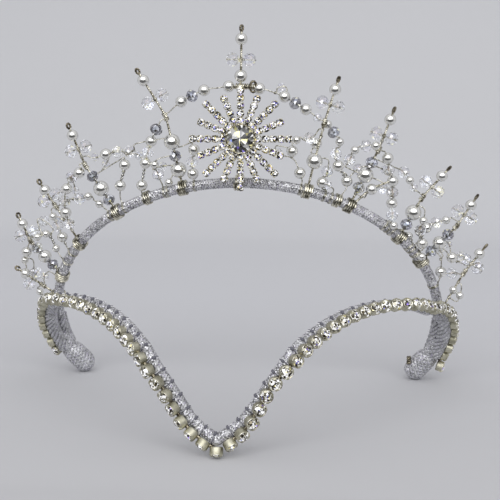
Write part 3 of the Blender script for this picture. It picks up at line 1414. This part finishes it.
CUP = cup_shape()
RIM = turned("rim", [(1.86, 2.3), (2.02, 2.22), (2.15, 2.36), (2.05, 2.54), (1.9, 2.5), (1.86, 2.3)], 20)
CHAIN_CUT = brilliant(1.84, 0.75, 0.3)
LINK_UP, STONE_SINK = -0.6, 0.25
LINK = (0, 0.7, 1, 1, 8, 0.8)

# %% The chain
for side, end in SIDES:
    chain = chains[side]
    places = [(chain.point(i, -CUP_DEPTH / 2), chain.turn(i), 1.0) for i in chain.cups]
    cups = joined(set_at(CUP, places, CUP_METAL), set_at(RIM, places, RIM_METAL))
    link_path = [chain.point(i, LINK_UP) for i in np.arange(chain.cups[0], chain.cups[-1], 0.25)]
    links = wound([link_path], LOOP_WIRE, *LINK)
    seats = [(chain.point(i, CUP_DEPTH / 2 - STONE_SINK), chain.turn(i), 1.0) for i in chain.cups]
    stones = set_at(CHAIN_CUT, seats, CHAIN_STONE, first_stone("chain", side))
    piece_of("cup_chain_" + end, joined(cups, links, stones), "cup_chain", "rhinestone_trim_" + end)

# %% [markdown]
# ## Stitches
#
# A dark thread holds the chain between each two cups. It goes from the chain over the braid and is knotted
# at the braid's upper edge, and a white thread crosses beside it. A thread's path is a few points on the
# band's round section, a little off its surface, and a knot is a flattened bead of thread.

# %% The stitches
KNOT = turned("knot", [(0, -0.5), (0.55, -0.36), (0.78, 0), (0.55, 0.36), (0, 0.5)], 8)
# Where the knots and the threads' ends sit, in degrees round the band, and their height over the braid
KNOT_ROLL, THREAD_END, KNOT_UP, THREAD_UP = -62, -115, 0.15, 0.2
STITCH_STEPS = 8
DARK_TWIST = (0.12, 0.15, 0.8, 2, 5, 0.3)
WHITE_PLAIN = (0, 0.16, 1, 1, 5, 0.4)


def stitch(chain, index, slant):
    """Points of a thread over the braid from the chain's side to behind the band's top."""
    start = np.interp(index, INDEXES, chain.rolls)
    return [beside_band(chain.side, index + slant * k / STITCH_STEPS,
                        start + (THREAD_END - start) * k / STITCH_STEPS, THREAD_UP)[0]
            for k in range(STITCH_STEPS + 1)]


for side, end in SIDES:
    chain = chains[side]
    knots = []
    for i in chain.gaps:
        point, out, along = beside_band(side, i, KNOT_ROLL, KNOT_UP)
        knots.append((point, facing(along, out), 1.0))
    dark = wound([stitch(chain, i, 0.05) for i in chain.gaps], DARK_THREAD, *DARK_TWIST)
    white = wound([stitch(chain, i + 0.08, -0.16) for i in chain.gaps], WHITE_THREAD, *WHITE_PLAIN)
    piece_of("stitches_" + end, joined(set_at(KNOT, knots, DARK_THREAD), dark, white), "braid")

# %% [markdown]
# ## The brooch
#
# The starburst is soldered from sixteen rays, long and short by turns, each a bar with four or five small
# cups. Every cup holds a stone in four claws, and a round stone in sixteen larger claws sits on the hub in
# the middle. One cup, one claw and one small stone are made, and the setting tree puts them at their places.

# %% The brooch's places
BROOCH_MIDDLE = arch_point(0) + (1.4, -9.2, 15.5)
RAY_PITCH, RAY_CUP_R = 2.65, 1.35
LONG_RAY, SHORT_RAY = (18, 5), (16.1, 4)
RAYS = [(math.radians(22.5 * k), *(LONG_RAY if k % 2 == 0 else SHORT_RAY)) for k in range(16)]
FORWARD = (0, -1, 0)
# Where the rays' bars start and how high they lie, then the hub's claws
BAR_FROM, BAR_UP = 3, 0.55
HUB_CLAWS, HUB_CLAWS_OUT, HUB_CLAW_SIZE, HUB_CLAWS_TURN = 16, 4.85, 1.5, 0.1
# Heights over the brooch's back, and the small claws' distance from the middle of their cup
STONE_UP, CLAW_UP, HUB_CLAWS_UP, CENTRE_UP, CLAW_OUT = 1.32, 1.35, 2.1, 2.0, 1.2


def on_brooch(angle, out, up):
    """A point of the brooch: its angle round the middle, distance from it, and height over its back."""
    return BROOCH_MIDDLE + np.array((out * math.cos(angle), -up, out * math.sin(angle)))


def ray_facing(angle):
    return facing(FORWARD, (math.cos(angle), 0, math.sin(angle)))


# %% The brooch
CLAW = turned("claw", [(0, -0.6), (0.24, -0.5), (0.24, 0.1), (0.33, 0.32), (0.24, 0.55), (0, 0.62)], 6)
RAY_CUP = turned("ray_cup", [(0, 0), (0.9, 0), (1.25, 0.35), (1.28, 0.95), (1.36, 1.2), (1.32, 1.34),
                             (1.22, 1.3), (0, 1.15)], 12)
RAY_CUT = brilliant(1.27, 0.6, 0.15, 6)
CENTRE_CUT = brilliant(4.7, 2.3, 0.5, 16, 0.1)
HUB = turned("hub", [(0, 0), (5.0, 0), (5.35, 0.3), (5.3, 1.0), (5.05, 1.5), (5.15, 1.9), (4.95, 2.05),
                     (4.75, 1.8), (0, 1.6)], 48)

ray_places = [(angle, reach - RAY_CUP_R - RAY_PITCH * i) for angle, reach, stones in RAYS
              for i in range(stones)]
ray_cups = [(on_brooch(a, out, 0), ray_facing(a), 1.0) for a, out in ray_places]
ray_stones = [(on_brooch(a, out, STONE_UP), ray_facing(a), 1.0) for a, out in ray_places]
claws = []
for a, out in ray_places:
    for corner in CORNERS:
        c = a + math.radians(corner)
        foot = on_brooch(a, out, CLAW_UP) + CLAW_OUT * np.array((math.cos(c), 0, math.sin(c)))
        claws.append((foot, facing(FORWARD), 1.0))
centre_claws = [(on_brooch(math.tau * k / HUB_CLAWS + HUB_CLAWS_TURN, HUB_CLAWS_OUT, HUB_CLAWS_UP),
                 facing(FORWARD), HUB_CLAW_SIZE) for k in range(HUB_CLAWS)]
bars = wound([[on_brooch(a, BAR_FROM, BAR_UP), on_brooch(a, reach - 1, BAR_UP)] for a, reach, _ in RAYS],
             BROOCH_METAL, 0, BAR_UP, 1, 1, 8, 1.0)
hub = set_at(HUB, [(on_brooch(0, 0, 0), facing(FORWARD), 1.0)], BROOCH_METAL)
metalwork = joined(hub, bars, set_at(RAY_CUP, ray_cups, BROOCH_METAL), set_at(CLAW, claws, BROOCH_METAL),
                   set_at(CLAW, centre_claws, BROOCH_METAL))
piece_of("starburst_frame", metalwork, "brooch_metal", "brooch_frame")
small_stones = set_at(RAY_CUT, ray_stones, RAY_STONE, first_stone("rays"))
piece_of("starburst_small_stones", small_stones, "brooch_stone")
middle_place = [(on_brooch(0, 0, CENTRE_UP), facing(FORWARD), 1.0)]
centre_stone = set_at(CENTRE_CUT, middle_place, CENTRE_STONE, first_stone("centre"))
piece_of("starburst_centre_stone", centre_stone, "brooch_stone", "brooch_stone")

# %% [markdown]
# ## The sweep of backdrop
#
# The headpiece stands on a plain pale surface that sweeps up behind it. It is one smooth sheet: a floor, a
# quarter round and a wall.

# %% The backdrop


def backdrop():
    f = Finish("plain_pale_paper")
    grain = f.cloud(f.place(0.05), 1.0)
    depth = f.add("ShaderNodeSeparateXYZ", inputs={"Vector": f.place(0.001)}, output="Y")
    paper = f.ramp(depth + 0.2 + grain * 0.02, (0.05, (0.5, 0.5, 0.512)), (0.45, (0.64, 0.645, 0.67)),
                   (0.8, (0.71, 0.715, 0.735)), (1.0, (0.67, 0.675, 0.69)))
    finish = f.shade(Base_Color=paper, Roughness=0.9, Normal=f.bump(grain, 0.05))
    front, wall, curve, low, top, half = -1400, 900, 350, -0.15, 1600, 2000
    outline = [(front, low), (wall - curve, low)]
    outline += [(wall - curve + curve * math.sin(a), low + curve * (1 - math.cos(a)))
                for a in np.radians(np.arange(6, 91, 6))]
    outline.append((wall, top))
    points = [(x, y, z) for y, z in outline for x in (-half, half)]
    faces = [(2 * k, 2 * k + 1, 2 * k + 3, 2 * k + 2) for k in range(len(outline) - 1)]
    mesh = bpy.data.meshes.new("backdrop")
    mesh.from_pydata([tuple(c * MM for c in p) for p in points], [], faces)
    mesh.shade_smooth()
    mesh.materials.append(finish)
    sheet = linked("backdrop", mesh)


backdrop()

# %% [markdown]
# ## Light
#
# The room is evenly pale, and one wide oval window stands high behind the camera. It puts a white oval on
# every pearl. Right below that oval the pearls in the photograph are dark, because they mirror the dim
# near side of the room. Two dark cards stand for it, one low behind the camera and one on the floor under
# it, and a third, less dark, stands behind the headpiece. Only mirrors see the cards, so they darken no
# floor and cast no shadow.

# %% Lamps, cards and room


def window(place, aim, wide, high, watts):
    data = bpy.data.lights.new("window", "AREA")
    data.shape = "ELLIPSE"
    data.size = wide
    data.size_y = high
    data.energy = watts
    light = linked("window", data)
    turn = (Vector(aim) - Vector(place)).to_track_quat("-Z", "Y").to_matrix().to_4x4()
    light.matrix_world = Matrix.Translation(Vector(place)) @ turn
    light.visible_camera = False


def add_card(name, tone, *corners):
    """A card in metres that only mirrors see."""
    mesh = bpy.data.meshes.new(name)
    mesh.from_pydata(corners, [], [(0, 1, 2, 3)])
    f = Finish(name)
    soft = f.mix(f.cloud(f.place(0.01)), tone * 0.8, tone * 1.2)
    mesh.materials.append(f.shade(Base_Color=soft, Roughness=1.0))
    card = linked(name, mesh)
    for ray in ("camera", "diffuse", "shadow", "transmission"):
        setattr(card, "visible_" + ray, False)


def room():
    world = bpy.data.worlds.new("room")
    world.use_nodes = True
    bpy.context.scene.world = world
    n = Nodes(world.node_tree)
    world.node_tree.nodes.clear()
    way = n.add("ShaderNodeTexCoord", output="Generated")
    height = n.add("ShaderNodeSeparateXYZ", inputs={"Vector": way}, output="Z")
    light = n.ramp(height * 0.5 + 0.5, (0.45, (0.53, 0.53, 0.55)), (0.7, (0.57, 0.57, 0.59)),
                   (1.0, (0.68, 0.68, 0.7)))
    sky = n.add("ShaderNodeBackground", inputs={"Color": light, "Strength": 1.0})
    end = world.node_tree.nodes.new("ShaderNodeOutputWorld")
    world.node_tree.links.new(sky.socket, end.inputs["Surface"])


window((0.05, -0.95, 0.68), (0, 0, 0.08), 2.0, 1.15, 11)
DARK, DIM = 0.02, 0.45
# Where the near and far walls stand, and half their widths, in metres
NEAR, WIDE, FAR, NARROW = -0.5, 0.8, 0.4, 0.6
LOW_TOP, FLOOR_UP, FLOOR_END, FLOOR_HALF = 0.13, 0.001, -0.08, 0.3
add_card("dark_near_wall", DARK, (-WIDE, NEAR, 0.0), (WIDE, NEAR, 0.0), (WIDE, NEAR, LOW_TOP),
         (-WIDE, NEAR, LOW_TOP))
add_card("dark_near_floor", DARK, (-WIDE, NEAR, FLOOR_UP), (WIDE, NEAR, FLOOR_UP),
         (FLOOR_HALF, FLOOR_END, FLOOR_UP), (-FLOOR_HALF, FLOOR_END, FLOOR_UP))
add_card("dim_far_wall", DIM, (-NARROW, FAR, 0.0), (NARROW, FAR, 0.0), (NARROW, FAR, NARROW),
         (-NARROW, FAR, NARROW))
room()
